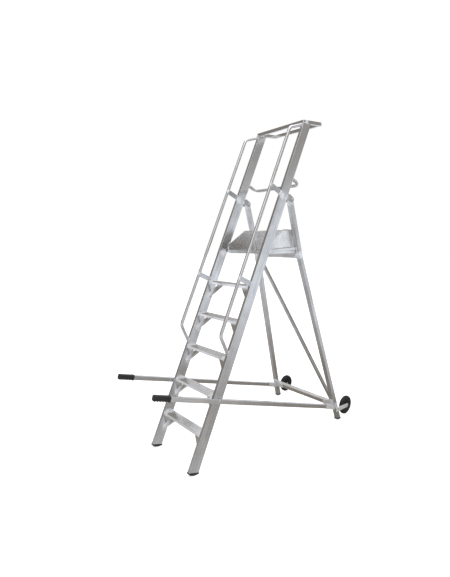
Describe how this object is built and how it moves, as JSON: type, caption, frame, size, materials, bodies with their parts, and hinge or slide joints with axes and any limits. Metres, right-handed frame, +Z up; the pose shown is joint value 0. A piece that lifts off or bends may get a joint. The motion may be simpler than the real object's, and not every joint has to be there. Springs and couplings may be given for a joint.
{
  "type": "rolling warehouse ladder",
  "caption": "Welded aluminium warehouse ladder with box-section treads, a guarded platform, round handrails, push rails with grips and two rear wheels.",
  "frame": {"origin": "on the floor, at the middle of the overall width and length", "axes": "+Z up, +Y the way the climber faces, +X to the climber's right"},
  "size_m": [0.7778, 2.0046, 2.5494],
  "materials": {
    "satin_aluminium": "mill finish, fine lines along each tube, frosty near welds",
    "ribbed_aluminium": "ribbed extrusion",
    "bright_tube": "smooth drawn tube",
    "plated_steel": "zinc plated",
    "black_rubber": "matte moulded",
    "tyre_rubber": "matte",
    "black_plastic": "matte"
  },
  "bodies": {
    "ladder_frame": {"stile_left": "satin_aluminium", "stile_foot_left": "black_rubber", "stile_right": "satin_aluminium", "stile_foot_right": "black_rubber", "tread_1": "ribbed_aluminium", "tread_brace_1_left": "satin_aluminium", "tread_brace_1_right": "satin_aluminium", "tread_2": "ribbed_aluminium", "tread_brace_2_left": "satin_aluminium", "tread_brace_2_right": "satin_aluminium", "tread_3": "ribbed_aluminium", "tread_brace_3_left": "satin_aluminium", "tread_brace_3_right": "satin_aluminium", "tread_4": "ribbed_aluminium", "tread_brace_4_left": "satin_aluminium", "tread_brace_4_right": "satin_aluminium", "tread_5": "ribbed_aluminium", "tread_brace_5_left": "satin_aluminium", "tread_brace_5_right": "satin_aluminium", "platform_deck": "ribbed_aluminium", "toe_board": "satin_aluminium", "platform_bearer": "satin_aluminium", "platform_side_bar_left": "satin_aluminium", "platform_side_bar_right": "satin_aluminium", "rear_cross_tube": "satin_aluminium", "rear_diagonal": "satin_aluminium", "rear_leg_left": "satin_aluminium", "rear_foot_left": "black_rubber", "rear_gusset_left": "satin_aluminium", "pivot_bracket_left": "satin_aluminium", "pivot_bolt_left": "plated_steel", "rear_leg_right": "satin_aluminium", "rear_foot_right": "black_rubber", "rear_gusset_right": "satin_aluminium", "pivot_bracket_right": "satin_aluminium", "pivot_bolt_right": "plated_steel", "tray_frame": "satin_aluminium", "knee_hoop": "bright_tube", "handrail_left": "bright_tube", "handrail_spacer_lower_left": "satin_aluminium", "handrail_spacer_upper_left": "satin_aluminium", "push_rail_left": "satin_aluminium", "rail_clip_left": "satin_aluminium", "rail_grip_left": "black_rubber", "rail_bolt_left": "plated_steel", "wheel_arm_left": "satin_aluminium", "axle_bolt_left": "plated_steel", "handrail_right": "bright_tube", "handrail_spacer_lower_right": "satin_aluminium", "handrail_spacer_upper_right": "satin_aluminium", "push_rail_right": "satin_aluminium", "rail_clip_right": "satin_aluminium", "rail_grip_right": "black_rubber", "rail_bolt_right": "plated_steel", "wheel_arm_right": "satin_aluminium", "axle_bolt_right": "plated_steel"},
    "wheel_left": {"wheel_tyre_left": "tyre_rubber", "wheel_hub_left": "black_plastic"},
    "wheel_right": {"wheel_tyre_right": "tyre_rubber", "wheel_hub_right": "black_plastic"}
  },
  "joints": [
    {"name": "wheel_left_spin", "type": "hinge", "parent": "ladder_frame", "child": "wheel_left", "pos_m": [-0.36, 0.919, 0.098], "axis": [1, 0, 0], "continuous": true},
    {"name": "wheel_right_spin", "type": "hinge", "parent": "ladder_frame", "child": "wheel_right", "pos_m": [0.36, 0.919, 0.098], "axis": [1, 0, 0], "continuous": true}
  ]
}
